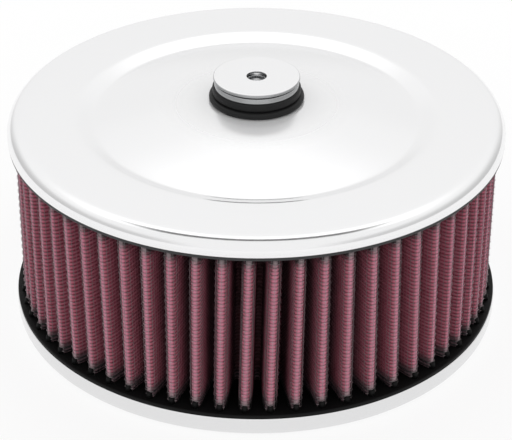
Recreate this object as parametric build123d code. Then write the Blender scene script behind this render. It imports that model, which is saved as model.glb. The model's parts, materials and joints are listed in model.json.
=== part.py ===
from build123d import *

import os
from math import acos, atan2, copysign, cos, hypot, pi, radians, sin

# A round open-element air cleaner for a carburetor, in millimetres, +Z up, origin at the centre of
# the base's foot. A pressed lid and a pressed base pan hold a pleated cotton element between two
# moulded rubber end rings. A rubber grommet with a steel sleeve and washers fills the hole at the
# centre of the lid, and the carburetor's stud comes up through it. Every piece is round about Z.
# A profile is a list of (radius, height) points, drawn in the XZ plane and turned about Z.

# Pressed steel, lid and base alike. A bend's radius is that of its inside
SHEET = 0.9  # thickness
STEP_BEND_R = 3.5

# Base pan, from its centre outwards
NECK_R = 53.2  # fits over a 4-3/16 in air horn
NECK_TOP = 13.0
NECK_LIP_WIDTH = 4.7
NECK_BEND_R = 2.0
FLOOR_WIDTH = 5.3  # raised floor round the neck
FLOOR_STEP = 2.0
STEP_WIDTH = 5.5  # slope between the raised floor and the foot
RIM_HEIGHT = 7.3
RIM_BEND_R = 1.9

# Rubber ring that seals the neck on the air horn
GASKET_HEIGHT = 1.6
GASKET_SETBACK = 0.3  # from the neck lip's edge

# Moulded end rings of the element
ELEMENT_HEIGHT = 75.8  # a 3 in element, squeezed between base floor and lid
ELEMENT_DEPTH = 22.2  # a ring's inner edge to its outer edge
SEAT_MARGIN = 1.5  # a ring's inner edge to the slope beside its flat seat
RIM_CLEARANCE = 0.3  # end ring to the inside of a rim
LIP_SETBACK = 0.2  # lip to the outside of a rim
LIP_GAP = 0.1  # lip to the edge of a rim
LIP_THICKNESS = 1.2
CORNER_R = 3.0  # keeps a ring clear of the bend in the skirt
RIB_HEIGHT = 0.8
RIB_WIDTH = 2.0
INNER_RIB_SETBACK = 5.5  # rib's middle to the ring's inner edge
OUTER_RIB_SETBACK = 6.7  # rib's middle to the ring's outer edge

# Pleated pack: cotton between two layers of wire cloth
PLEATS = 63
PACK_TURN = -0.4  # degrees about Z, as the pleats stand in the photograph
TIP_SETBACK = 2.2  # pleats to the lip's outer edge
ROOT_SETBACK = 0.8  # pleats to the ring's inner edge
COTTON_THICKNESS = 1.0
SCREEN_THICKNESS = 0.35
TIGHTEST_BEND_R = 0.7  # inside radius of a fold in the innermost layer
TIP_FACETS = 3  # a fold's tip is pressed into flats
ROOT_FACETS = 1

# Lid, from its skirt inwards
SKIRT_HEIGHT = 5.85
SKIRT_BEND_R = 3.6
STEP_DROP = 2.1
DOME_RISE = 7.1
DOME_CROWN = 1.0  # the dome's middle above a straight cone, before it is rounded
CROWN_SPREAD = 0.7  # share of the dome's slope that the rounding takes
FLAT_MARGIN = 0.55  # the flat at the dome's top reaches past the grommet
LID_HOLE_R = 12.0
SEAT_BEND_R = 4.5

# Centre stack, from the stud hole outwards and upwards
STUD_HOLE_R = 3.57  # clearance hole for a 1/4 in stud
SLEEVE_WALL = 1.93
UNDER_WASHER_R = 14.0
UNDER_WASHER_THICKNESS = 1.3
FLANGE_REACH = 3.5  # past the edge of the lid's hole
FLANGE_HEIGHT = 3.5  # below the lid
FLANGE_TAPER = 1.2
BULGE_R = 16.95
BULGE_HEIGHT = 2.4
BULGE_ROUND = 1.1
GROOVE_DEPTH = 1.95  # from the bulge
GROOVE_HEIGHT = 0.5
UPPER_LIP_SETBACK = 1.2  # from the bulge
UPPER_LIP_HEIGHT = 2.5
UPPER_LIP_ROUND = 0.8
RETAINER_R = 15.1
RETAINER_THICKNESS = 2.0
CAP_R = 15.4
CAP_THICKNESS = 1.3
CAP_GAP = 0.3  # height of the spigot under the cap
CAP_OVERHANG = 3.4  # cap's edge past its spigot
WASHER_CHAMFER = 0.3


def turned(outline):
    """Solid of revolution of a closed outline of (radius, height)."""
    return revolve(Plane.XZ * make_face(outline), Axis.Z)


def side_step(points, distance):
    """The run of straight lines through points, moved sideways to its left and mitred at its corners."""
    moved = []
    for i, (r, z) in enumerate(points):
        before = points[max(i - 1, 0)]
        after = points[min(i + 1, len(points) - 1)]
        into = atan2(z - before[1], r - before[0]) if i > 0 else None
        out = atan2(after[1] - z, after[0] - r) if i < len(points) - 1 else None
        into = out if into is None else into
        out = into if out is None else out
        half = ((out - into + pi) % (2 * pi) - pi) / 2
        reach = distance / cos(half)
        moved.append((r - reach * sin(into + half), z + reach * cos(into + half)))
    return moved


def pressed(points, bends):
    """Sheet stamping: a path along the middle of the sheet, with an inside bend radius at each corner."""
    turns = [
        (b[0] - a[0]) * (c[1] - b[1]) - (b[1] - a[1]) * (c[0] - b[0])
        for a, b, c in zip(points, points[1:], points[2:])
    ]
    left_points = side_step(points, SHEET / 2)
    right_points = side_step(points, -SHEET / 2)
    left = [bend + (SHEET if turn < 0 else 0) for bend, turn in zip(bends, turns)]
    right = [bend + (SHEET if turn > 0 else 0) for bend, turn in zip(bends, turns)]
    edges = [
        *FilletPolyline(*left_points, radius=left).edges(),
        *FilletPolyline(*right_points, radius=right).edges(),
        Line(left_points[0], right_points[0]),
        Line(left_points[-1], right_points[-1]),
    ]
    return turned(edges)


def height_at(start, end, radius):
    """Height at a radius on the straight line between two (radius, height) points."""
    share = (radius - start[0]) / (end[0] - start[0])
    return start[1] + share * (end[1] - start[1])


# Radii that follow from one another, from the neck out to the rims, which come to 7 in across
floor_edge_r = NECK_R + FLOOR_WIDTH
foot_inner_r = floor_edge_r + STEP_WIDTH
end_ring_inner_r = foot_inner_r + SEAT_MARGIN
end_ring_outer_r = end_ring_inner_r + ELEMENT_DEPTH
rim_r = end_ring_outer_r + RIM_CLEARANCE + SHEET
lip_r = rim_r - LIP_SETBACK

# The sheet's middle line, lid and base
rim_middle = rim_r - SHEET / 2
lid_ring_z = SHEET + ELEMENT_HEIGHT + SHEET / 2
lid_crease_z = lid_ring_z - STEP_DROP
dome_top_z = lid_crease_z + DOME_RISE
lid_edge_z = lid_ring_z + SHEET / 2 - SKIRT_HEIGHT
dome_inner_r = BULGE_R + FLAT_MARGIN
dome_middle_r = (floor_edge_r + dome_inner_r) / 2
crown_z = (lid_crease_z + dome_top_z) / 2 + DOME_CROWN
crown_bend_r = CROWN_SPREAD * (floor_edge_r - dome_middle_r) ** 2 / DOME_CROWN
lid_path = [
    (rim_middle, lid_edge_z),
    (rim_middle, lid_ring_z),
    (foot_inner_r, lid_ring_z),
    (floor_edge_r, lid_crease_z),
    (dome_middle_r, crown_z),
    (dome_inner_r, dome_top_z),
    (LID_HOLE_R, dome_top_z),
]
neck_middle = NECK_R + SHEET / 2
floor_z = SHEET / 2 + FLOOR_STEP
base_path = [
    (rim_middle, RIM_HEIGHT),
    (rim_middle, SHEET / 2),
    (foot_inner_r, SHEET / 2),
    (floor_edge_r, floor_z),
    (neck_middle, floor_z),
    (neck_middle, NECK_TOP - SHEET / 2),
    (NECK_R - NECK_LIP_WIDTH, NECK_TOP - SHEET / 2),
]


def make_lid():
    return pressed(lid_path, [SKIRT_BEND_R, STEP_BEND_R, STEP_BEND_R, crown_bend_r, SEAT_BEND_R])


def make_base_pan():
    bends = [RIM_BEND_R, STEP_BEND_R, STEP_BEND_R, NECK_BEND_R, NECK_BEND_R]
    return pressed(base_path, bends)


def make_neck_gasket():
    """Sits up against the neck's lip, inside the neck's bend."""
    inner = NECK_R - NECK_LIP_WIDTH + GASKET_SETBACK
    ring = Circle(NECK_R - NECK_BEND_R) - Circle(inner)
    return Pos(0, 0, NECK_TOP - SHEET - GASKET_HEIGHT) * extrude(ring, GASKET_HEIGHT)


# The faces that the end rings touch: the base's floor and the underside of the lid's flat ring
base_seat = side_step(base_path, -SHEET / 2)[1:3]
lid_seat = side_step(lid_path, SHEET / 2)[1:3]
pack_bottom = RIM_HEIGHT + LIP_GAP + LIP_THICKNESS
pack_top = lid_edge_z - LIP_GAP - LIP_THICKNESS


def make_end_ring(seat, pack_z):
    """Ring between a seat on the sheet and the pleats, with sealing ribs and a lip past the rim."""
    up = copysign(1, pack_z - seat[0][1])
    under_lip = pack_z - up * LIP_THICKNESS
    corner_z = height_at(*seat, end_ring_outer_r) + up * RIB_HEIGHT
    points = [
        (end_ring_inner_r, height_at(*seat, end_ring_inner_r) + up * RIB_HEIGHT),
        (end_ring_outer_r, corner_z),
        (end_ring_outer_r, under_lip),
        (lip_r, under_lip),
        (lip_r, pack_z),
        (end_ring_inner_r, pack_z),
    ]
    corner_r = min(CORNER_R, 0.8 * abs(under_lip - corner_z))
    section = make_face(FilletPolyline(*points, radius=[0, corner_r, 0, 0, 0, 0], close=True))
    for middle in (end_ring_inner_r + INNER_RIB_SETBACK, end_ring_outer_r - OUTER_RIB_SETBACK):
        low, high = middle - RIB_WIDTH / 2, middle + RIB_WIDTH / 2
        root = up * 2 * RIB_HEIGHT
        rib = [
            (low, height_at(*seat, low)),
            (high, height_at(*seat, high)),
            (high, height_at(*seat, high) + root),
            (low, height_at(*seat, low) + root),
        ]
        section += make_face(Polyline(*rib, close=True))
    return revolve(Plane.XZ * section, Axis.Z)


def fold(centre, facing, half_turn, bend_r, facets):
    """Corners of a bend's flats, which lie round a circle, from one wall to the next."""
    step = 2 * half_turn / (facets + 1)
    reach = bend_r / cos(step / 2)
    angles = [facing - half_turn + (k + 0.5) * step for k in range(facets + 1)]
    return [(centre[0] + reach * cos(a), centre[1] + reach * sin(a)) for a in angles]


half_cotton = COTTON_THICKNESS / 2
half_pack = half_cotton + SCREEN_THICKNESS


def pleated_line(offset):
    """Closed zigzag at a distance outside the middle of the cotton. Its walls are straight tangents
    between a bend at each tip and a bend at each root, so that all layers lie face to face."""
    bend_r = half_pack + TIGHTEST_BEND_R
    tip = lip_r - TIP_SETBACK - half_pack - bend_r
    root = end_ring_inner_r + ROOT_SETBACK + half_pack + bend_r
    half_pitch = pi / PLEATS
    across, along = root * cos(half_pitch) - tip, root * sin(half_pitch)
    wall = atan2(along, across) - acos(2 * bend_r / hypot(across, along))
    points = []
    for i in range(PLEATS):
        a = 2 * i * half_pitch + radians(PACK_TURN)
        b = a + half_pitch
        points += fold((tip * cos(a), tip * sin(a)), a, wall, bend_r + offset, TIP_FACETS)
        points += fold(
            (root * cos(b), root * sin(b)), b + pi, half_pitch - wall, bend_r - offset, ROOT_FACETS
        )
    return Polyline(*points, close=True)


def make_pleated_layer(outside, inside):
    """Folded sheet between two distances from the middle of the cotton, as tall as the pack."""
    section = make_face(pleated_line(outside)) - make_face(pleated_line(inside))
    return Pos(0, 0, pack_bottom) * extrude(section, pack_top - pack_bottom)


# The centre stack, where the grommet grips the lid
sleeve_r = STUD_HOLE_R + SLEEVE_WALL
seat_top = dome_top_z + SHEET / 2
seat_under = seat_top - SHEET
bulge_top = seat_top + BULGE_HEIGHT
upper_lip_bottom = bulge_top + GROOVE_HEIGHT
grommet_top = upper_lip_bottom + UPPER_LIP_HEIGHT
grommet_bottom = seat_under - FLANGE_HEIGHT
cap_bottom = grommet_top + RETAINER_THICKNESS + CAP_GAP


def make_lid_grommet():
    flange_r = LID_HOLE_R + FLANGE_REACH
    groove_r = BULGE_R - GROOVE_DEPTH
    upper_lip_r = BULGE_R - UPPER_LIP_SETBACK
    points = [
        (sleeve_r, grommet_bottom, 0),
        (flange_r - FLANGE_TAPER, grommet_bottom, 0),
        (flange_r, seat_under, 0),
        (LID_HOLE_R, seat_under, 0),
        (LID_HOLE_R, seat_top, 0),
        (BULGE_R, seat_top, BULGE_ROUND),
        (BULGE_R, bulge_top, BULGE_ROUND),
        (groove_r, bulge_top, 0),
        (groove_r, upper_lip_bottom, 0),
        (upper_lip_r, upper_lip_bottom, 0),
        (upper_lip_r, grommet_top, UPPER_LIP_ROUND),
        (sleeve_r, grommet_top, 0),
    ]
    corners = [(r, z) for r, z, _ in points]
    rounds = [round_r for _, _, round_r in points]
    return turned(FilletPolyline(*corners, radius=rounds, close=True))


def make_washer(outer_r, bottom, thickness, spigot=0.0):
    """Washer with chamfered outer edges and, where asked, a spigot under it."""
    top = bottom + thickness
    points = [
        (STUD_HOLE_R, bottom),
        (outer_r - WASHER_CHAMFER, bottom),
        (outer_r, bottom + WASHER_CHAMFER),
        (outer_r, top - WASHER_CHAMFER),
        (outer_r - WASHER_CHAMFER, top),
        (STUD_HOLE_R, top),
    ]
    washer = turned(Polyline(*points, close=True))
    if spigot:
        boss = extrude(Circle(outer_r - CAP_OVERHANG) - Circle(STUD_HOLE_R), spigot)
        washer += Pos(0, 0, bottom - spigot) * boss
    return washer


def make_spacer_sleeve():
    tube = extrude(Circle(sleeve_r) - Circle(STUD_HOLE_R), grommet_top - grommet_bottom)
    return Pos(0, 0, grommet_bottom) * tube


pieces = {
    "base_pan": make_base_pan(),
    "neck_gasket": make_neck_gasket(),
    "bottom_end_ring": make_end_ring(base_seat, pack_bottom),
    "inner_screen": make_pleated_layer(-half_cotton, -half_pack),
    "cotton_media": make_pleated_layer(half_cotton, -half_cotton),
    "outer_screen": make_pleated_layer(half_pack, half_cotton),
    "top_end_ring": make_end_ring(lid_seat, pack_top),
    "lid": make_lid(),
    "lid_grommet": make_lid_grommet(),
    "spacer_sleeve": make_spacer_sleeve(),
    "under_washer": make_washer(
        UNDER_WASHER_R, grommet_bottom - UNDER_WASHER_THICKNESS, UNDER_WASHER_THICKNESS
    ),
    "retainer_washer": make_washer(RETAINER_R, grommet_top, RETAINER_THICKNESS),
    "cap_washer": make_washer(CAP_R, cap_bottom, CAP_THICKNESS, spigot=CAP_GAP),
}

os.makedirs("parts", exist_ok=True)
for node, shape in pieces.items():
    export_step(shape, f"parts/{node}.step")
    size = shape.bounding_box()
    print(node, round(shape.volume, 1), [round(v, 3) for v in (*size.min, *size.max)])
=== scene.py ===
import json
from math import acos, atan2, cos, degrees, exp, hypot, pi, radians, sin, tan

import bmesh
import bpy
from mathutils import Matrix, Vector


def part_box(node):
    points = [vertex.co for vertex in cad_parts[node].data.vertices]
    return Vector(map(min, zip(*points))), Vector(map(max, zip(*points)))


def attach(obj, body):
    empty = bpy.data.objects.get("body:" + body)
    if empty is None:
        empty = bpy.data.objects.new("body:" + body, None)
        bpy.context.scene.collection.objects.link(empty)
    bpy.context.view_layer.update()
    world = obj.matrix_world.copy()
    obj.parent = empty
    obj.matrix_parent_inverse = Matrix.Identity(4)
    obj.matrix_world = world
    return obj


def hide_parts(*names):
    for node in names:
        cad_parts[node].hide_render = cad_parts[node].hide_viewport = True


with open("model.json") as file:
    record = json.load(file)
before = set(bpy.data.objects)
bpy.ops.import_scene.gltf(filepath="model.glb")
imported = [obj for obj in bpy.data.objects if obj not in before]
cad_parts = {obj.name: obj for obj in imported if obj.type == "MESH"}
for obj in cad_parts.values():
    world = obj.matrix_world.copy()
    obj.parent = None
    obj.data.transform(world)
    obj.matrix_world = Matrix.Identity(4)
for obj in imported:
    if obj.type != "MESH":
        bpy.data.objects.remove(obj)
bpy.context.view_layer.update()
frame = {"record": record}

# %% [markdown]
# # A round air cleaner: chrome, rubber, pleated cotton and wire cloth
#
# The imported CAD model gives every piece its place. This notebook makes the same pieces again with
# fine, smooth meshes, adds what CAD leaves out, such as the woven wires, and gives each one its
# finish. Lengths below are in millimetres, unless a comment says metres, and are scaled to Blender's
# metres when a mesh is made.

MM = 0.001


def reach_of(node):
    """Outer radius, lowest and highest z of a CAD node, in millimetres."""
    low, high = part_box(node)
    return high.x / MM, low.z / MM, high.z / MM


mounts = {mount["name"]: mount for mount in frame["record"]["mounts"]}
neck_r = mounts["neck"]["dims"]["r_mm"]
stud_hole_r = mounts["stud_hole"]["dims"]["r_mm"]
rim_r, skirt_edge, lid_top = reach_of("lid")
print("rim", round(rim_r, 2), "neck", neck_r, "stud hole", stud_hole_r)

# %% [markdown]
# ## The camera
#
# The photograph was taken from the front and above with a long lens, so the circles look like nearly
# perfect ellipses. Place, direction and lens came from fitting those ellipses: a camera on the YZ
# plane, looking down by 31.5 degrees, with a hair of roll.

# %% Camera
CAMERA_PLACE = Vector((0, -0.6162, 0.4098))  # metres
CAMERA_PITCH = radians(31.530)
CAMERA_ROLL = radians(0.268)
CAMERA_LENS = 137.53
SENSOR_WIDTH = 36
SEES_TO = 100  # metres

camera_data = bpy.data.cameras.new("camera")
camera_data.lens = CAMERA_LENS
camera_data.sensor_width = SENSOR_WIDTH
camera_data.clip_end = SEES_TO
camera = bpy.data.objects.new("camera", camera_data)
bpy.context.scene.collection.objects.link(camera)
tilt = Matrix.Rotation(pi / 2 - CAMERA_PITCH, 4, "X")
roll = Matrix.Rotation(CAMERA_ROLL, 4, "Z")
camera.matrix_world = Matrix.Translation(CAMERA_PLACE) @ tilt @ roll
bpy.context.scene.camera = camera
bpy.context.scene.view_settings.view_transform = "Standard"
print("camera at", tuple(round(v, 3) for v in camera.location))

# %% [markdown]
# ## Sums with nodes
#
# A shader's maths reads best as Python. `Mask` wraps one output of a node, so that `1 - mask * 0.5`
# adds the Math nodes by itself. `Finish` is one material, and its `node` method makes any other node:
# its type, then its settings, then what goes into its sockets.


# %% Mask
class Mask:
    """One output of a node that can stand in a sum."""

    def __init__(self, tree, socket):
        self.tree = tree
        self.socket = socket

    def maths(self, operation, first, second):
        return self.tree.node("Math", {"operation": operation}, {0: first, 1: second})

    def __add__(self, other):
        return self.maths("ADD", self, other)

    __radd__ = __add__

    def __sub__(self, other):
        return self.maths("SUBTRACT", self, other)

    def __rsub__(self, other):
        return self.maths("SUBTRACT", other, self)

    def __mul__(self, other):
        return self.maths("MULTIPLY", self, other)

    __rmul__ = __mul__

    def __truediv__(self, other):
        return self.maths("DIVIDE", self, other)

    def __pow__(self, other):
        return self.maths("POWER", self, other)

    def __abs__(self):
        return self.maths("ABSOLUTE", self, 0)

    def cosine(self):
        return self.maths("COSINE", self, 0)


# %% Tree and Finish
class Tree:
    """A node tree of a material or of the world."""

    def __init__(self, node_tree):
        self.nodes = node_tree.nodes
        self.links = node_tree.links

    def feed(self, socket, value):
        if isinstance(value, Mask):
            self.links.new(value.socket, socket)
        else:
            socket.default_value = value

    def node(self, kind, settings=None, sockets=None, output=0):
        made = self.nodes.new("ShaderNode" + kind)
        for name, value in (settings or {}).items():
            setattr(made, name, value)
        for name, value in (sockets or {}).items():
            self.feed(made.inputs[name], value)
        return Mask(self, made.outputs[output])

    def coordinates(self, vector):
        """The x, y and z of a vector."""
        split = self.node("SeparateXYZ", None, {0: vector}).socket.node
        return [Mask(self, output) for output in split.outputs]

    def smooth(self, value, low, high):
        """From 0 at low to 1 at high, with soft ends."""
        settings = {"interpolation_type": "SMOOTHSTEP"}
        return self.node("MapRange", settings, {0: value, 1: low, 2: high})

    def blend(self, share, first, second):
        """Colour between two colours, whose sockets are the Mix node's 6 and 7."""
        settings = {"data_type": "RGBA", "clamp_factor": True}
        return self.node("Mix", settings, {0: share, 6: first, 7: second}, output=2)


class Finish(Tree):
    """A material with a Principled shader."""

    def __init__(self, name, **constants):
        self.material = bpy.data.materials.new(name)
        self.material.use_nodes = True
        super().__init__(self.material.node_tree)
        self.shader = self.nodes["Principled BSDF"]
        self.place = self.node("TexCoord", output="Object")
        self.set(constants)

    def set(self, values):
        for name, value in values.items():
            self.feed(self.shader.inputs[name.replace("_", " ")], value)

    def noise(self, scale, detail=2.0):
        sockets = {"Vector": self.place, "Scale": scale, "Detail": detail}
        return self.node("TexNoise", None, sockets)

    def bump(self, height, distance):
        """Normal of a surface that rises by distance, in metres, where height is 1."""
        return self.node("Bump", None, {"Height": height, "Distance": distance})


# %% Colour and place
def rgb(red, green, blue):
    return (red, green, blue, 1.0)


def parts_of(finish):
    """Distance from the axis and height of a point, in millimetres."""
    x, y, z = finish.coordinates(finish.place)
    return (x * x + y * y) ** 0.5 / MM, z / MM


# %% [markdown]
# ## Light and floor
#
# Chrome has no colour of its own: it shows what stands round it. The photograph's lid is bright, with
# one thin dark line along its front edge. So the studio is a white tent, brightest overhead and
# behind, and a little dimmer at the sides. A dark gap in its roof, just behind the middle, draws that
# line. Lamps and cards could do the same, but a world that draws the tent from the direction that a
# ray takes has no edges and adds no noise. The floor is white and carries on out of sight.

# %% World
WALL_LIGHT = 0.888  # the back wall, where it meets the floor
RISES = (
    # more light, from which height, to which height (0 is level and 1 straight up)
    (0.085, 0.05, 0.22),
    (0.048, 0.42, 0.56),
    (0.37, 0.6, 0.95),
)
FRONT_LIGHT = 0.99
FRONT_BAND = (0.1, -0.2)  # where the back wall passes into the front one
SIDES_DIM = 0.32  # light that the side walls lack
SIDES_BAND = (0.35, 0.8)  # how far aside that starts and is full
SIDES_HEIGHTS = (0.2, 0.6)  # where the side walls pass into the roof
GAP_LIGHT = 0.1  # light left in the middle of the dark gap
GAP_PLACE = 0.1  # how far behind the roof's middle it lies
GAP_HALF = 0.2  # half its width, from front to back
GAP_REACH = 0.5  # half its length, from side to side
GAP_EDGE = 0.8  # softness of its long edges
GAP_END = 0.6  # softness of its ends
GAP_HEIGHTS = (0.1, 0.4)  # it fades away below these

world = bpy.data.worlds.new("tent")
bpy.context.scene.world = world
world.use_nodes = True
tent = Tree(world.node_tree)
ray_direction = tent.node("TexCoord")
sideways, away, upwards = tent.coordinates(ray_direction)

walls = WALL_LIGHT
for rise, low, high in RISES:
    walls = tent.smooth(upwards, low, high) * rise + walls
in_front = tent.smooth(away, *FRONT_BAND)
walls = walls * (1 - in_front) + in_front * FRONT_LIGHT
sides = tent.smooth(abs(sideways), *SIDES_BAND) * (1 - tent.smooth(upwards, *SIDES_HEIGHTS))
walls = walls * (1 - sides * SIDES_DIM)

past_gap = away - GAP_PLACE
gap = tent.smooth(1 - past_gap * past_gap / GAP_HALF ** 2, 0.0, GAP_EDGE)
gap = gap * tent.smooth(1 - sideways * sideways / GAP_REACH ** 2, 0.0, GAP_END)
gap = gap * tent.smooth(upwards, *GAP_HEIGHTS)

background = tent.nodes["Background"]
tent.feed(background.inputs["Color"], rgb(1, 1, 1))
tent.feed(background.inputs["Strength"], walls * (1 - gap * (1 - GAP_LIGHT)))
print("tent of", len(tent.nodes), "nodes")

# %% Floor
FLOOR_HALF = 12.0  # metres
PAPER_TONE = 0.15
PAPER_GLOW = 0.83  # keeps the floor nearly white and the shadow on it pale

floor_mesh = bmesh.new()
bmesh.ops.create_grid(floor_mesh, x_segments=1, y_segments=1, size=FLOOR_HALF)
floor_data = bpy.data.meshes.new("floor")
floor_mesh.to_mesh(floor_data)
floor = bpy.data.objects.new("floor", floor_data)
bpy.context.scene.collection.objects.link(floor)
paper = Finish("white_paper", Base_Color=rgb(PAPER_TONE, PAPER_TONE, PAPER_TONE), Roughness=0.9)
paper.set({"Emission Color": rgb(1, 1, 1), "Emission Strength": PAPER_GLOW})
floor_data.materials.append(paper.material)
print("floor", 2 * FLOOR_HALF, "metres across")

# %% [markdown]
# ## Turned shapes
#
# Nearly every piece is round about one axis, so each is drawn as a section and spun. A section is a
# chain of corners (radius, height, rounding). Bevelling a corner's vertex rounds it, and subdividing
# the long straight stretches keeps the shading of a flat face flat right up to the bend.

# %% Sections
SPIN_STEPS = 256
BEND_SEGMENTS = 10
LONGEST_EDGE = 1.6
MERGE_WITHIN = 1e-7  # metres


def chain(bm, corners, closed):
    points = [bm.verts.new((r * MM, 0, z * MM)) for r, z, _ in corners]
    pairs = list(zip(points, points[1:] + points[:1]))
    for a, b in pairs if closed else pairs[:-1]:
        bm.edges.new((a, b))
    return points


def tangent(before, corner, after, radius):
    """How far from a corner its rounding starts."""
    into = (Vector(corner[:2]) - Vector(before[:2])).normalized()
    out = (Vector(after[:2]) - Vector(corner[:2])).normalized()
    return radius * tan(acos(max(-1, min(1, into.dot(out)))) / 2)


def round_corners(bm, points, corners, closed):
    count = len(corners)
    for i, (_, _, radius) in enumerate(corners):
        if radius and (closed or 0 < i < count - 1):
            reach = tangent(corners[i - 1], corners[i], corners[(i + 1) % count], radius)
            bmesh.ops.bevel(
                bm, geom=[points[i]], offset=reach * MM, offset_type="OFFSET",
                segments=BEND_SEGMENTS, profile=0.5, affect="VERTICES", material=-1,
            )


def split_long_edges(bm):
    for edge in list(bm.edges):
        cuts = int(edge.calc_length() / (LONGEST_EDGE * MM))
        if cuts:
            bmesh.ops.subdivide_edges(bm, edges=[edge], cuts=cuts)


# %% Turned pieces
def revolved(corners, closed=True, steps=SPIN_STEPS):
    """The skin that a section draws when it is spun about the axis."""
    bm = bmesh.new()
    round_corners(bm, chain(bm, corners, closed), corners, closed)
    split_long_edges(bm)
    bmesh.ops.spin(
        bm, geom=bm.verts[:] + bm.edges[:], cent=(0, 0, 0), axis=(0, 0, 1),
        angle=2 * pi, steps=steps, use_merge=True,
    )
    bmesh.ops.remove_doubles(bm, verts=bm.verts[:], dist=MERGE_WITHIN)
    bmesh.ops.recalc_face_normals(bm, faces=bm.faces[:])
    return bm


def piece_from(bm, name, finish, node):
    """Makes the object, which rides on the part's one body and stands for a CAD node."""
    data = bpy.data.meshes.new(name)
    bm.to_mesh(data)
    bm.free()
    data.shade_smooth()
    data.materials.append(finish.material)
    piece = bpy.data.objects.new(name, data)
    bpy.context.scene.collection.objects.link(piece)
    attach(piece, "root")
    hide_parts(node)
    triangles = sum(len(face.vertices) - 2 for face in data.polygons)
    print(name, "has", triangles, "triangles")
    return piece


def turned(name, corners, finish, node, steps=SPIN_STEPS):
    """Solid of revolution from a closed section."""
    return piece_from(revolved(corners, steps=steps), name, finish, node)


# %% [markdown]
# ## Chrome
#
# The plating is nearly a mirror, so the tent gives it most of its look. Three things keep it from
# looking like glass: the polish leaves it very slightly uneven, a trace of dust lies round the
# grommet, and the washers are duller where they were sheared. The base is the same plating as the
# lid, painted a shade darker, a painted shade for the darker reflections on its rim. The dust fades
# out slowly, because a sharp step in gloss shows as a ring.

# %% Chrome finish
LID_TONE = 0.88
# painted shade: the base has the lid's plating, given a darker tone for the darker reflections on its
# rim
BASE_SHADED_TONE = 0.78
COOL = 1.005  # chrome is a hair blue
METAL = 0.98
POLISH = 0.13
SHEARED = rgb(0.42, 0.425, 0.43)
SHEARED_FROM = 0.35  # inside the washer's edge
SHEARED_FULL = 0.1
DUST_FROM = (15.5, 16.5)  # radii where the dust starts, at the foot of the grommet
DUST_UNTIL = (20.0, 36.0)  # and where it thins out
DUST_COVERS = 0.63  # metal that the dust takes away
DUST_DULLS = 0.07


def chrome_plate(name, tone, edge_r=None):
    """Plating of a tone. edge_r is the radius of a washer's sheared edge."""
    plate = Finish(name)
    radius = parts_of(plate)[0]
    bright = rgb(tone, tone, tone * COOL)
    plate.set({"Base Color": bright})
    if edge_r:
        sheared = plate.smooth(radius, edge_r - SHEARED_FROM, edge_r - SHEARED_FULL)
        plate.set({"Base Color": plate.blend(sheared, bright, SHEARED)})
    dust = plate.smooth(radius, *DUST_FROM) * (1 - plate.smooth(radius, *DUST_UNTIL))
    smears = plate.noise(18.0, 4.0)
    waves = plate.noise(55.0)
    plate.set({"Metallic": METAL - dust * DUST_COVERS})
    plate.set({"Roughness": POLISH + smears * 0.06 + dust * DUST_DULLS})
    plate.set({"Normal": plate.bump(waves, 0.00002)})
    return plate


chrome = chrome_plate("chrome_plate", LID_TONE)
shaded_base_chrome = chrome_plate("chrome_plate_under_shaded", BASE_SHADED_TONE)
print("chrome in tones", LID_TONE, "and", BASE_SHADED_TONE)

# %% [markdown]
# ## The lid and the base
#
# Both are pressed from sheet. The path runs along the middle of the sheet, its bends are rounded, the
# spin makes a skin, and a Solidify modifier gives it the sheet's thickness to both sides. A path of
# both faces would do too, but this way a bend is one number and the thickness can't vary.

# %% Pressed sheet
SHEET = 0.9
EDGE_BREAK = 0.18
RIM_BEND = 2.35
SKIRT_BEND = 4.05
STEP_BEND = 3.95
CREASE_BEND = 2.4
SEAT_BEND = 4.5
NECK_BEND = 2.45


def pressed(name, path, plate, node):
    """Sheet metal from the path of the sheet's middle."""
    piece = piece_from(revolved(path, closed=False), name, plate, node)
    wall = piece.modifiers.new("sheet", "SOLIDIFY")
    wall.thickness = SHEET * MM
    wall.offset = 0
    wall.use_even_offset = True
    edge = piece.modifiers.new("edge", "BEVEL")
    edge.width = EDGE_BREAK * MM
    edge.segments = 2
    edge.limit_method = "ANGLE"
    edge.angle_limit = radians(60)


# %% Lid
FLOOR_EDGE_R = 58.5  # the crease between step and dome, over the edge of the base's raised floor
FOOT_INNER_R = 64.0
RING_Z = 77.15  # middle of the sheet at the flat ring
STEP_DROP = 2.1
DOME_CROWN = 1.0
DOME_BEND = 294.0
LID_HOLE_R = 12.0
SEAT_EDGE_R = 17.5

rim_middle = rim_r - SHEET / 2
dome_top = lid_top - SHEET / 2
crease_z = RING_Z - STEP_DROP
crown_r = (FLOOR_EDGE_R + SEAT_EDGE_R) / 2
lid_path = [
    (rim_middle, skirt_edge, 0),
    (rim_middle, RING_Z, SKIRT_BEND),
    (FOOT_INNER_R, RING_Z, STEP_BEND),
    (FLOOR_EDGE_R, crease_z, CREASE_BEND),
    (crown_r, (crease_z + dome_top) / 2 + DOME_CROWN, DOME_BEND),
    (SEAT_EDGE_R, dome_top, SEAT_BEND),
    (LID_HOLE_R, dome_top, 0),
]
pressed("chromed_lid", lid_path, chrome, "lid")

# %% Base pan
RIM_HEIGHT = 7.3
FLOOR_STEP = 2.0
NECK_LIP = 4.7

neck_middle = neck_r + SHEET / 2
neck_top = reach_of("base_pan")[2]
base_path = [
    (rim_middle, RIM_HEIGHT, 0),
    (rim_middle, SHEET / 2, RIM_BEND),
    (FOOT_INNER_R, SHEET / 2, STEP_BEND),
    (FLOOR_EDGE_R, SHEET / 2 + FLOOR_STEP, STEP_BEND),
    (neck_middle, SHEET / 2 + FLOOR_STEP, NECK_BEND),
    (neck_middle, neck_top - SHEET / 2, NECK_BEND),
    (neck_r - NECK_LIP, neck_top - SHEET / 2, 0),
]
pressed("chromed_base", base_path, shaded_base_chrome, "base_pan")

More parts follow.
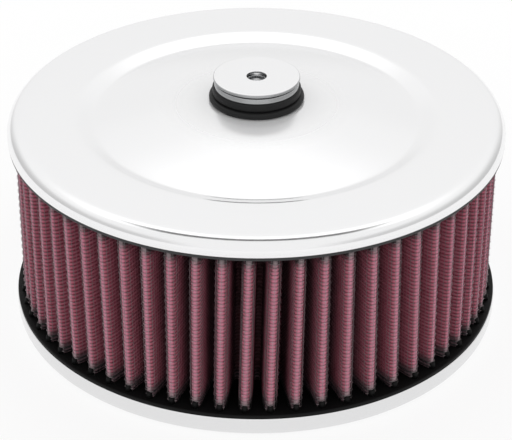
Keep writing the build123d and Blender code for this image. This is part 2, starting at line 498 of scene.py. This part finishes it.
# %% [markdown]
# ## The washers and the sleeve
#
# Two chromed washers sit on the grommet with a dark gap between them, and a plain steel one lies
# under it, inside the lid. The cap has a short spigot below, which leaves the gap. A steel sleeve
# keeps the stud off the rubber. All four are round, so each is a turned section.

# %% Washers
EDGE_ROUND = 0.25
HOLE_ROUND = 0.12

steel = Finish("zinc_plate", Base_Color=rgb(0.6, 0.61, 0.62), Metallic=1.0)
steel.set({"Roughness": 0.28 + steel.noise(90.0, 5.0) * 0.2})


def washer(name, node, finish=None):
    outer, bottom, top = reach_of(node)
    corners = [
        (stud_hole_r, bottom, 0),
        (outer, bottom, EDGE_ROUND),
        (outer, top, EDGE_ROUND),
        (stud_hole_r, top, HOLE_ROUND),
    ]
    turned(name, corners, finish or chrome_plate(name, LID_TONE, outer), node)


washer("chromed_retainer_washer", "retainer_washer")
washer("steel_under_washer", "under_washer", steel)

# %% Cap washer
SPIGOT_R = 12.0
SPIGOT_HEIGHT = 0.55
CAP_UNDER_ROUND = 0.2
CAP_TOP_ROUND = 0.3
CAP_HOLE_ROUND = 0.15

cap_r, cap_bottom, cap_top = reach_of("cap_washer")
gap_top = cap_bottom + SPIGOT_HEIGHT
cap_corners = [
    (stud_hole_r, cap_bottom, 0),
    (SPIGOT_R, cap_bottom, 0),
    (SPIGOT_R, gap_top, 0),
    (cap_r, gap_top, CAP_UNDER_ROUND),
    (cap_r, cap_top, CAP_TOP_ROUND),
    (stud_hole_r, cap_top, CAP_HOLE_ROUND),
]
cap_plate = chrome_plate("chromed_cap", LID_TONE, cap_r)
turned("chromed_cap_washer", cap_corners, cap_plate, "cap_washer")

# %% Spacer sleeve
SLEEVE_STEPS = 96  # a small ring needs fewer

sleeve_r, sleeve_bottom, sleeve_top = reach_of("spacer_sleeve")
sleeve_corners = [
    (stud_hole_r, sleeve_bottom, 0),
    (sleeve_r, sleeve_bottom, 0),
    (sleeve_r, sleeve_top, 0),
    (stud_hole_r, sleeve_top, 0),
]
turned("steel_sleeve", sleeve_corners, steel, "spacer_sleeve", steps=SLEEVE_STEPS)

# %% [markdown]
# ## Rubber
#
# Moulded rubber is near black, and its skin scatters light softly where it has been handled. Three
# finishes differ in tone and gloss alone: the grommet's, the bottom ring's, which is darker and less
# glossy, and the top ring's, which is painted lighter, a painted light that lets its lip show in the
# shade under the lid's skirt.

# %% Rubber finish
def moulded_rubber(name, tone, gloss):
    """Rubber of a tone, whose skin is uneven and finely grained."""
    skin = Finish(name, Base_Color=rgb(tone, tone, tone * 1.03), Specular_IOR_Level=gloss)
    handled = skin.noise(220.0, 4.0)
    grain = skin.noise(900.0, 3.0)
    skin.set({"Roughness": 0.42 + handled * 0.2})
    skin.set({"Normal": skin.bump(grain, 0.00012)})
    return skin


rubber = moulded_rubber("black_rubber", 0.009, 0.25)
darker_rubber = moulded_rubber("darker_black_rubber", 0.004, 0.12)
# painted light: the top ring's lighter tone stands in for light on its lip in the shade under the lid
lightened_rubber = moulded_rubber("lightened_black_rubber", 0.03, 0.3)
print("three rubbers of", len(rubber.nodes), "nodes each")

# %% [markdown]
# ## The grommet and the gasket
#
# The grommet fills the lid's hole: a flare below the sheet, a bulge on top of it, a groove, and a
# shoulder that carries the washers. The gasket lies under the neck's lip. Both are turned sections,
# and only the grommet's upper half shows.

# %% Grommet
FLARE_FOOT_R = 14.3
FLARE_TOP_R = 15.5
BULGE_HEIGHT = 2.4
BULGE_ROUND = 1.1
GROOVE_HEIGHT = 0.5
GROOVE_DEPTH = 1.95
SHOULDER_DEPTH = 1.2

bulge_r, grommet_bottom, grommet_top = reach_of("lid_grommet")
seat_under = lid_top - SHEET
bulge_top = lid_top + BULGE_HEIGHT
groove_top = bulge_top + GROOVE_HEIGHT
groove_r = bulge_r - GROOVE_DEPTH
shoulder_r = bulge_r - SHOULDER_DEPTH
grommet_corners = [
    (sleeve_r, grommet_bottom, 0),
    (FLARE_FOOT_R, grommet_bottom, 0.4),
    (FLARE_TOP_R, seat_under, 0.2),
    (LID_HOLE_R, seat_under, 0),
    (LID_HOLE_R, lid_top, 0),
    (bulge_r, lid_top, BULGE_ROUND),
    (bulge_r, bulge_top, BULGE_ROUND),
    (groove_r, bulge_top, 0.2),
    (groove_r, groove_top, 0.2),
    (shoulder_r, groove_top, 0.3),
    (shoulder_r, grommet_top, 0.8),
    (sleeve_r, grommet_top, 0),
]
turned("rubber_grommet", grommet_corners, rubber, "lid_grommet")

# %% Neck gasket
GASKET_BACK = 0.3  # how far it stands back from the lip's edge
GASKET_ROUND = 0.3
GASKET_STEPS = 192

gasket_inner_r = neck_r - NECK_LIP + GASKET_BACK
gasket_r, gasket_bottom, gasket_top = reach_of("neck_gasket")
gasket_corners = [
    (gasket_inner_r, gasket_bottom, GASKET_ROUND),
    (gasket_r, gasket_bottom, GASKET_ROUND),
    (gasket_r, gasket_top, 0),
    (gasket_inner_r, gasket_top, 0),
]
turned(
    "rubber_neck_gasket", gasket_corners, rubber, "neck_gasket", steps=GASKET_STEPS,
)

# %% [markdown]
# ## The fold
#
# The cotton and both wire cloths follow one zigzag. A pleat is a bend round its tip, a straight wall,
# and the opposite bend round its root. The wall touches both bends, and that gives its angle, so each
# layer is the same fold at another offset. The gauze is folded more sharply at its tips than the
# wires over it, which leaves a dark gap beside each crest. One pleat is drawn, and spinning it about
# the axis with duplicates draws all the others.

# %% One pleat
PLEATS = 63
PACK_TURN = radians(-0.4)
TIP_REACH = 85.65  # middle of the cotton at a crest
ROOT_R = 68.7
ROOT_BEND = 1.55

_, pack_bottom, pack_top = reach_of("cotton_media")
pack_middle = (pack_top + pack_bottom) / 2
pack_half = (pack_top - pack_bottom) / 2
pleat_angle = 2 * pi / PLEATS
half_pitch = pi / PLEATS
root_centre = Vector((ROOT_R * cos(half_pitch), ROOT_R * sin(half_pitch), 0))
print(PLEATS, "pleats,", round(2 * pack_half, 2), "tall")


def spread(half, steps):
    """Even steps from -half to half."""
    return [half * (2 * i / steps - 1) for i in range(steps + 1)]


class Fold:
    """One pleat seen from above: a bend round its tip, a straight wall and a bend at its root."""

    def __init__(self, tip_bend):
        self.tip_bend = tip_bend
        self.tip_centre = Vector((TIP_REACH - tip_bend, 0, 0))
        across = root_centre - self.tip_centre
        lean = acos((tip_bend + ROOT_BEND) / hypot(across.x, across.y))
        self.wall_angle = atan2(across.y, across.x) - lean
        self.root_half = self.wall_angle - half_pitch

    def on_tip(self, angle, offset):
        """Point of the tip's bend, at an angle from the pleat's own direction."""
        return self.tip_centre + (self.tip_bend + offset) * Vector((cos(angle), sin(angle), 0))

    def on_root(self, angle, offset):
        """Point of the root's bend, at an angle from the direction of the axis."""
        facing = half_pitch + pi + angle
        return root_centre + (ROOT_BEND - offset) * Vector((cos(facing), sin(facing), 0))

    def points(self, tip_steps, root_steps):
        """Points along one pleat: round its tip, down the wall and round the root."""
        round_tip = [self.on_tip(angle, 0) for angle in spread(self.wall_angle, tip_steps)]
        round_root = [self.on_root(-angle, 0) for angle in spread(self.root_half, root_steps)]
        return round_tip + round_root


# %% Copying and joining
def repeat_round(bm, geom, copies, angle):
    """Copies a shape round the axis, one copy every angle."""
    bmesh.ops.spin(
        bm, geom=geom, cent=(0, 0, 0), axis=(0, 0, 1),
        angle=copies * angle, steps=copies, use_duplicate=True,
    )


def add_to(bm, other):
    """Adds another bmesh to this one and frees it."""
    passing = bpy.data.meshes.new("passing")
    other.to_mesh(passing)
    other.free()
    bm.from_mesh(passing)
    bpy.data.meshes.remove(passing)


# %% [markdown]
# ## Uneven pleats
#
# No folded pack is quite regular: in the photograph some crests lean or stand aside by a millimetre
# or two, most of them on the right. One function turns every point of the cotton, the wires and the
# nubs by the same few soft bumps, so that they stay together.

# %% Sway
SWAY_BUMPS = (
    # degrees round from the front, shift aside, how much further the top is shifted
    (-60, 0.07, -0.35),
    (-40, -0.29, -0.76),
    (-20, -0.37, 0.0),
    (0, 0.0, 0.71),
    (20, -0.13, -0.09),
    (40, 1.74, -0.79),
    (60, 1.64, 0.0),
)
SWAY_WIDTH = 16.0  # degrees


def sway(bm):
    """Turns every point of the pack a little about the axis, in soft bumps round it."""
    for vert in bm.verts:
        x, y, z = vert.co
        facing = degrees(atan2(x, -y))
        high = (z / MM - pack_middle) / pack_half
        shift = 0
        for centre, aside, lean in SWAY_BUMPS:
            shift += (aside + lean * high) * exp(-(((facing - centre) / SWAY_WIDTH) ** 2))
        turn = shift / TIP_REACH
        vert.co.x = x * cos(turn) - y * sin(turn)
        vert.co.y = x * sin(turn) + y * cos(turn)


# %% [markdown]
# ## The end rings
#
# Each ring is cast round the ends of the pleats, and its lip reaches out past the rim of the pan. Two
# ribs on its other face seal on the sheet. At the foot of the pack the rubber has crept up every
# crest into a small nub, which is a cone with a bevelled rim, made once and spun round. At the top no
# nubs show, so that ring has none.

# %% Nubs
NUB_HEIGHT = 2.3
NUB_FOOT_R = 1.25
NUB_TOP_R = 0.9
NUB_PLACE_R = 86.1
NUB_ROUND = 0.5
NUB_SIDES = 12


def add_nubs(ring, pack_z):
    """A tapered nub of rubber on the ring, at the foot of each pleat's crest."""
    bm = bmesh.new()
    bmesh.ops.create_cone(
        bm, cap_ends=True, segments=NUB_SIDES, radius1=NUB_FOOT_R * MM, radius2=NUB_TOP_R * MM,
        depth=NUB_HEIGHT * MM,
    )
    rim = [edge for edge in bm.edges if all(vert.co.z > 0 for vert in edge.verts)]
    bmesh.ops.bevel(
        bm, geom=rim, offset=NUB_ROUND * MM, segments=3, profile=0.5, affect="EDGES", material=-1,
    )
    place = Matrix.Rotation(PACK_TURN, 3, "Z") @ Vector((NUB_PLACE_R, 0, 0))
    lift = (place.x * MM, place.y * MM, (pack_z + NUB_HEIGHT / 2) * MM)
    bmesh.ops.translate(bm, verts=bm.verts[:], vec=lift)
    repeat_round(bm, bm.verts[:] + bm.edges[:] + bm.faces[:], PLEATS - 1, pleat_angle)
    bmesh.ops.recalc_face_normals(bm, faces=bm.faces[:])
    sway(bm)
    add_to(ring, bm)


# %% End rings
RING_INNER_R = 65.5
RING_OUTER_R = 87.7
LIP_THICKNESS = 1.2
RIB_HEIGHT = 0.8
RIB_WIDTH = 2.0
RIB_MIDDLES = (71.0, 81.0)
RIB_ROUND = 0.3


def end_ring(name, node, seat, pack_z, skin):
    """A ring from its ribbed seat on the sheet to the face that carries the pleats."""
    up = 1 if pack_z > seat else -1
    lip_r = reach_of(node)[0]
    between_ribs = seat + up * RIB_HEIGHT
    under_lip = pack_z - up * LIP_THICKNESS
    corners = [(RING_INNER_R, between_ribs, 0)]
    for middle in RIB_MIDDLES:
        inner, outer = middle - RIB_WIDTH / 2, middle + RIB_WIDTH / 2
        corners += [
            (inner, between_ribs, 0),
            (inner, seat, RIB_ROUND),
            (outer, seat, RIB_ROUND),
            (outer, between_ribs, 0),
        ]
    corners += [
        (RING_OUTER_R, between_ribs, 0),
        (RING_OUTER_R, under_lip, 0),
        (lip_r, under_lip, 0.35),
        (lip_r, pack_z, 0.45),
        (RING_INNER_R, pack_z, 0.4),
    ]
    bm = revolved(corners)
    if up > 0:
        add_nubs(bm, pack_z)
    piece_from(bm, name, skin, node)


end_ring("rubber_bottom_ring", "bottom_end_ring", SHEET, pack_bottom, darker_rubber)
end_ring("rubber_top_ring", "top_end_ring", RING_Z - SHEET / 2, pack_top, lightened_rubber)

# %% [markdown]
# ## Cotton
#
# The medium is gauze, dyed a deep crimson. Its colour is painted brightest at the crests, a painted
# light, and falls to maroon in the valleys, a painted shade of the deep folds. Between two level wires
# it swells into a small rib, painted lighter on its swell and darker at the wires. Distance from the
# pack's middle radius tells crest from valley, so one mask serves every pleat, and a thin skin of
# rubber greys the ends of the folds at the foot; at the top the same grey is a painted shade under the
# lid's lip.

# %% Depth of a fold
PACK_MIDDLE_R = 76.4
WIRE_PITCH = 1.45
FIRST_ROW = 0.7 * WIRE_PITCH  # the lowest level wire above the pack's foot
ENDS_FROM = 6.5  # from a fold's end, where the rubber's skin and the painted shade at the top start
ENDS_FULL = 2.0


def crest_of(finish, radius, low, high):
    """From 0 in the valleys to 1 on the crests, outside and inside alike."""
    return finish.smooth(abs(radius - PACK_MIDDLE_R), low, high)


def ends_of(finish, height):
    """From 0 along the folds to 1 at their ends, where the rubber's skin has crept up them at the foot
    and a painted shade stands for the lid's lip at the top.
    """
    return finish.smooth(abs(height - pack_middle), pack_half - ENDS_FROM, pack_half - ENDS_FULL)


# %% Cotton finish
DYED = (rgb(0.24, 0.03, 0.058), rgb(0.44, 0.115, 0.165))
# painted shade: the valleys' dark maroon stands in for the shade deep in the folds
VALLEY_SHADE = (rgb(0.045, 0.015, 0.017), rgb(0.09, 0.024, 0.03))
# painted light: the crests' pale pink stands in for the light that falls on them
CREST_LIGHT = (rgb(0.46, 0.16, 0.225), rgb(0.56, 0.22, 0.3))
# the ends' colour is the rubber's skin at the foot, and at the top a painted shade under the lid's lip
ENDS_SKIN_AND_SHADE = (rgb(0.02, 0.02, 0.02), rgb(0.31, 0.25, 0.26))
FLANK = (74.5, 84.5)  # radii between which the painted valley shade gives way to dye
# radii over which the painted light of the crests comes in
GAUZE_CREST = (9.23, 9.88)

cotton = Finish("red_gauze", Roughness=0.85)
radius, height = parts_of(cotton)
threads = cotton.noise(2600.0, 3.0)
patches = cotton.noise(140.0, 3.0)
ribs = 0.5 - ((height - pack_bottom - FIRST_ROW) * (2 * pi / WIRE_PITCH)).cosine() * 0.5
# painted light and shade: each rib is lighter on its swell and darker at the level wires, mixed with
# the weave's own threads and patches; the rib's rise also drives the bump
rib_light_and_weave = ribs * 0.5 + threads * 0.35 + patches * 0.3
rib_height_and_light = ribs * 0.6 + threads * 0.4

dyed = cotton.blend(cotton.smooth(rib_light_and_weave, 0.25, 0.85), *DYED)
valley_shade = cotton.blend(cotton.smooth(patches, 0.3, 0.7), *VALLEY_SHADE)
flanks = cotton.blend(cotton.smooth(radius, *FLANK), valley_shade, dyed)
crest = crest_of(cotton, radius, *GAUZE_CREST)
folds = cotton.blend(crest, flanks, cotton.blend(rib_height_and_light, *CREST_LIGHT))
ends = cotton.blend(crest, *ENDS_SKIN_AND_SHADE)
cotton.set({"Base Color": cotton.blend(ends_of(cotton, height), folds, ends)})
cotton.set({"Normal": cotton.bump(rib_height_and_light, 0.0003)})
cotton.set({"Sheen Weight": 0.25, "Sheen Roughness": 0.5, "Sheen Tint": rgb(0.9, 0.5, 0.6)})
print("cotton of", len(cotton.nodes), "nodes")

# %% Cotton pleats
COTTON_THICKNESS = 1.0
GAUZE_BEND = 0.95
TIP_STEPS = 8
ROOT_STEPS = 4
LEVELS = 12


def pleated_skin(fold):
    """A folded sheet, as tall as the pack."""
    bm = bmesh.new()
    turn = Matrix.Rotation(PACK_TURN, 3, "Z")
    foot = Vector((0, 0, pack_bottom))
    line = [bm.verts.new((turn @ point + foot) * MM) for point in fold.points(TIP_STEPS, ROOT_STEPS)]
    for a, b in zip(line, line[1:]):
        bm.edges.new((a, b))
    count = len(line)
    repeat_round(bm, bm.verts[:] + bm.edges[:], PLEATS - 1, pleat_angle)
    bm.verts.ensure_lookup_table()
    for i in range(PLEATS):
        last = bm.verts[i * count + count - 1]
        first = bm.verts[((i + 1) % PLEATS) * count]
        bm.edges.new((last, first))
    step = Vector((0, 0, 2 * pack_half / LEVELS * MM))
    edges = bm.edges[:]
    for _ in range(LEVELS):
        made = bmesh.ops.extrude_edge_only(bm, edges=edges)["geom"]
        verts = [item for item in made if isinstance(item, bmesh.types.BMVert)]
        edges = [item for item in made if isinstance(item, bmesh.types.BMEdge)]
        bmesh.ops.translate(bm, verts=verts, vec=step)
    bmesh.ops.recalc_face_normals(bm, faces=bm.faces[:])
    sway(bm)
    return bm


gauze_skin = pleated_skin(Fold(GAUZE_BEND))
media = piece_from(gauze_skin, "cotton_pleats", cotton, "cotton_media")
body = media.modifiers.new("gauze", "SOLIDIFY")
body.thickness = COTTON_THICKNESS * MM
body.offset = 0

# %% [markdown]
# ## Wire cloth
#
# The cloth over the cotton is what catches the light: pale wires, 1.45 mm apart both ways, tinted by
# oil and dye and painted darker down in the folds, a painted shade. The upright wires are straight.
# The level ones run round the whole pack and weave over and under the upright wires at each crest, one
# row over where the next goes under, which gives the crests their ladder of little ridges. Down the
# walls, which hardly show, they run plain. Each level wire is a closed curve bevelled with a triangle,
# made a mesh and copied upwards, and the upright ones are thin prisms, because a cloth has thousands
# of crossings and each has to stay light.

# %% Wire finish
# painted shade: the wires' tint of oil and dye is painted darker deeper in the folds
DYE_AND_SHADE = (rgb(0.05, 0.015, 0.02), rgb(0.31, 0.095, 0.13))
DYE_AND_SHADE_BAND = (75.0, 82.5)  # radii between which the dye and the painted shade get paler
# painted shade: the greyer wires at a crest's sides, between the folds' shade and the bare crests
SIDE_WIRE_TONE = rgb(0.19, 0.15, 0.16)
SIDE_WIRE_BAND = (82.5, 85.0)
BARE = rgb(0.6, 0.46, 0.5)
BARE_CREST = (9.5, 10.2)
# the ends' colour is the rubber's skin at the foot, and at the top a painted shade under the lid's lip
WIRE_ENDS_SKIN_AND_SHADE = (rgb(0.015, 0.015, 0.015), rgb(0.31, 0.26, 0.27))
ENDS_CREST = (8.9, 9.8)

wire = Finish("woven_wire")
radius, height = parts_of(wire)
bare = crest_of(wire, radius, *BARE_CREST)
dye_and_shade = wire.blend(wire.smooth(radius, *DYE_AND_SHADE_BAND), *DYE_AND_SHADE)
side_wire_tone = wire.blend(wire.smooth(radius, *SIDE_WIRE_BAND), dye_and_shade, SIDE_WIRE_TONE)
# painted shade: the bare crest wires darken towards the valleys
wire_with_painted_shade = wire.blend(bare, side_wire_tone, BARE)
wire_ends_skin_and_shade = wire.blend(crest_of(wire, radius, *ENDS_CREST), *WIRE_ENDS_SKIN_AND_SHADE)
wire.set({"Base Color": wire.blend(ends_of(wire, height), wire_with_painted_shade, wire_ends_skin_and_shade)})
wire.set({"Metallic": 0.35 + bare * 0.65})
wire.set({"Roughness": 0.35 + wire.noise(400.0) * 0.1})
print("wire of", len(wire.nodes), "nodes")

# %% Level wires
WIRE_BEND = 1.55
LEVEL_R = 0.11
UPRIGHT_R = 0.09
UPRIGHT_OFFSET = 0.57  # from the middle of the cotton
LEVEL_OVER = 0.08  # level wires lie this much further out
PLAIN_OVER = 0.1
WEAVE = 0.26
WOVEN = range(-4, 5)  # a woven crest's points, half a mesh apart
WIRE_SIDES = 3

wires = Fold(WIRE_BEND)
mesh_angle = WIRE_PITCH / (WIRE_BEND + UPRIGHT_OFFSET)  # one mesh of the cloth, round a crest


def level_wire_points(side, row, pleat):
    """One pleat of a level wire. side is 1 outside the cotton and -1 inside it."""
    woven = []
    for i in WOVEN:
        over = 0 if (i + pleat) % 2 else (1 if (i // 2 + row) % 2 else -1)
        offset = UPRIGHT_OFFSET + LEVEL_OVER + over * WEAVE
        angle = i * mesh_angle / 2
        if side > 0:
            woven.append(wires.on_tip(angle, offset))
        else:
            angle = max(-wires.root_half, min(wires.root_half, angle))
            woven.append(wires.on_root(-angle, -offset))
    plain = UPRIGHT_OFFSET + PLAIN_OVER
    if side > 0:
        return woven + [wires.on_root(-angle, plain) for angle in spread(wires.root_half, 1)]
    return [wires.on_tip(angle, -plain) for angle in spread(wires.wall_angle, 1)] + woven


# %% Tube
def tube_along(points):
    """Mesh of a thin three-sided tube along a closed line of points."""
    curve = bpy.data.curves.new("level_wire", "CURVE")
    curve.dimensions = "3D"
    line = curve.splines.new("POLY")
    line.points.add(len(points) - 1)
    for target, point in zip(line.points, points):
        target.co = (*(point * MM), 1)
    line.use_cyclic_u = True
    outline = bpy.data.curves.new("level_wire_section", "CURVE")
    triangle = outline.splines.new("POLY")
    triangle.points.add(WIRE_SIDES - 1)
    for i, target in enumerate(triangle.points):
        angle = 2 * pi * i / WIRE_SIDES
        target.co = (LEVEL_R * MM * cos(angle), LEVEL_R * MM * sin(angle), 0, 1)
    triangle.use_cyclic_u = True
    section = bpy.data.objects.new("level_wire_section", outline)
    curve.bevel_mode = "OBJECT"
    curve.bevel_object = section
    holder = bpy.data.objects.new("level_wire", curve)
    bpy.context.scene.collection.objects.link(holder)
    bpy.context.scene.collection.objects.link(section)
    shown = holder.evaluated_get(bpy.context.evaluated_depsgraph_get())
    mesh = bpy.data.meshes.new_from_object(shown)
    bpy.data.objects.remove(holder)
    bpy.data.objects.remove(section)
    return mesh


# %% Rows of level wires
def level_wires(side):
    """All level wires of a cloth: two kinds in turn, each made once and copied upwards."""
    rows = int(2 * pack_half / WIRE_PITCH)
    bm = bmesh.new()
    for parity in (0, 1):
        points = []
        for i in range(PLEATS):
            turn = Matrix.Rotation(PACK_TURN + i * pleat_angle, 3, "Z")
            points += [turn @ point for point in level_wire_points(side, parity, i)]
        one = tube_along(points)
        for row in range(parity, rows, 2):
            before = set(bm.verts)
            bm.from_mesh(one)
            fresh = [vert for vert in bm.verts if vert not in before]
            lift = (pack_bottom + FIRST_ROW + row * WIRE_PITCH) * MM
            bmesh.ops.translate(bm, verts=fresh, vec=(0, 0, lift))
        bpy.data.meshes.remove(one)
    return bm


# %% Upright wires
def wall_line(side, mirrored):
    """Start and end of one straight wall at the upright wires' depth, from the crest to the valley."""
    offset = side * UPRIGHT_OFFSET
    sign = -1 if mirrored else 1
    at_tip = wires.on_tip(wires.wall_angle, offset)
    at_root = wires.on_root(wires.root_half, offset)
    ends = [Vector((end.x, sign * end.y, 0)) for end in (at_tip, at_root)]
    return ends if side > 0 else ends[::-1]


def upright_spots(side, shift):
    """Where the upright wires of one pleat stand: round its crest and down its walls."""
    half_turn = wires.wall_angle if side > 0 else wires.root_half
    turns = [mesh_angle * (i + shift) for i in range(-2, 3)]
    turns = [turn for turn in turns if abs(turn) < half_turn]
    if side > 0:
        spots = [wires.on_tip(turn, UPRIGHT_OFFSET) for turn in turns]
    else:
        spots = [wires.on_root(-turn, -UPRIGHT_OFFSET) for turn in turns]
    first = (max(turns) + mesh_angle - half_turn) * (WIRE_BEND + UPRIGHT_OFFSET)
    for mirrored in (False, True):
        top, bottom = wall_line(side, mirrored)
        run = (bottom - top).length
        along = (bottom - top).normalized()
        count = int((run - first) / WIRE_PITCH) + 1
        spots += [top + along * (first + k * WIRE_PITCH) for k in range(count)]
    return spots


def upright_wires(side):
    """All upright wires of a cloth: every second pleat's are shifted by half a mesh."""
    bm = bmesh.new()
    for first_pleat, shift in ((0, 0.0), (1, 0.5)):
        turn = Matrix.Rotation(PACK_TURN + first_pleat * pleat_angle, 3, "Z")
        batch = []
        for spot in upright_spots(side, shift):
            made = bmesh.ops.create_cone(
                bm, cap_ends=False, segments=WIRE_SIDES, radius1=UPRIGHT_R * MM,
                radius2=UPRIGHT_R * MM, depth=2 * pack_half * MM,
            )["verts"]
            place = turn @ spot
            lift = (place.x * MM, place.y * MM, pack_middle * MM)
            bmesh.ops.translate(bm, verts=made, vec=lift)
            batch += made
        edges = list({edge for vert in batch for edge in vert.link_edges})
        faces = list({face for vert in batch for face in vert.link_faces})
        copies = (PLEATS - 1 - first_pleat) // 2
        repeat_round(bm, batch + edges + faces, copies, 2 * pleat_angle)
    return bm


# %% Both cloths
def wire_cloth(name, side, node):
    bm = level_wires(side)
    add_to(bm, upright_wires(side))
    sway(bm)
    piece_from(bm, name, wire, node)


wire_cloth("outer_wire_cloth", 1, "outer_screen")
wire_cloth("inner_wire_cloth", -1, "inner_screen")
